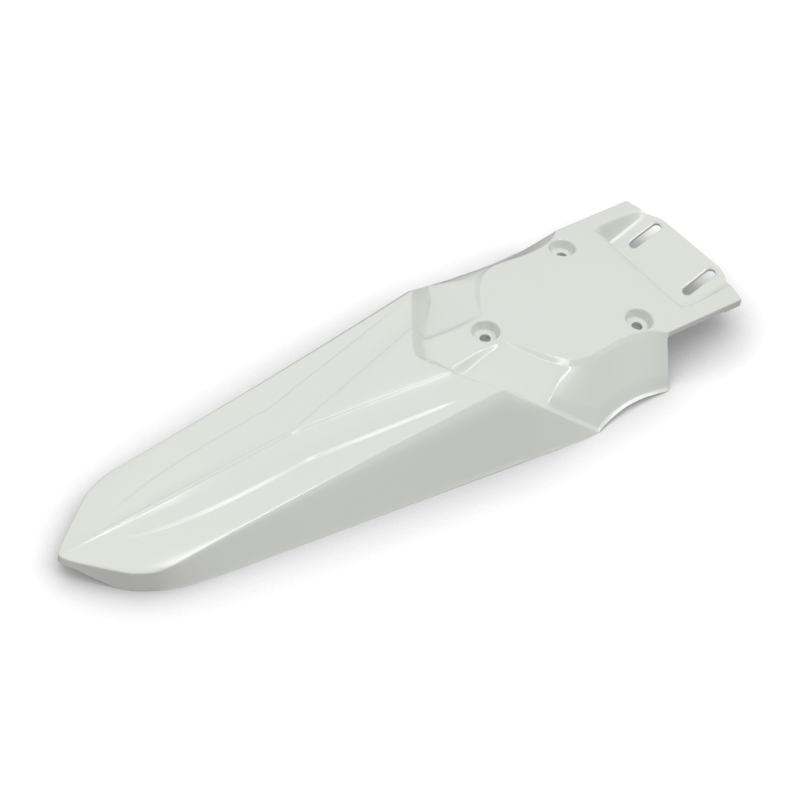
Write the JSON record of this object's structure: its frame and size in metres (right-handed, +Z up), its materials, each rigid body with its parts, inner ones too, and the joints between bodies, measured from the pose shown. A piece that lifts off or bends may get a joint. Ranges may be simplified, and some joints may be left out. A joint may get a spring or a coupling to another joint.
{
  "type": "motorcycle rear fender",
  "caption": "Narrow moulded rear fender with a creased blade, skirts, side wings, recessed screw cups and a slotted front tongue.",
  "frame": {"origin": "middle of the fender's length and width, at the height of the lower rim it rests on", "axes": "+X towards the seat and the slotted tongue, +Y to the rider's left, +Z up"},
  "size_m": [0.4362, 0.153, 0.0414],
  "materials": {
    "moulded_plastic": "smooth glossy off-white moulded plastic"
  },
  "bodies": {
    "root": {"fender": "moulded_plastic"}
  },
  "joints": []
}
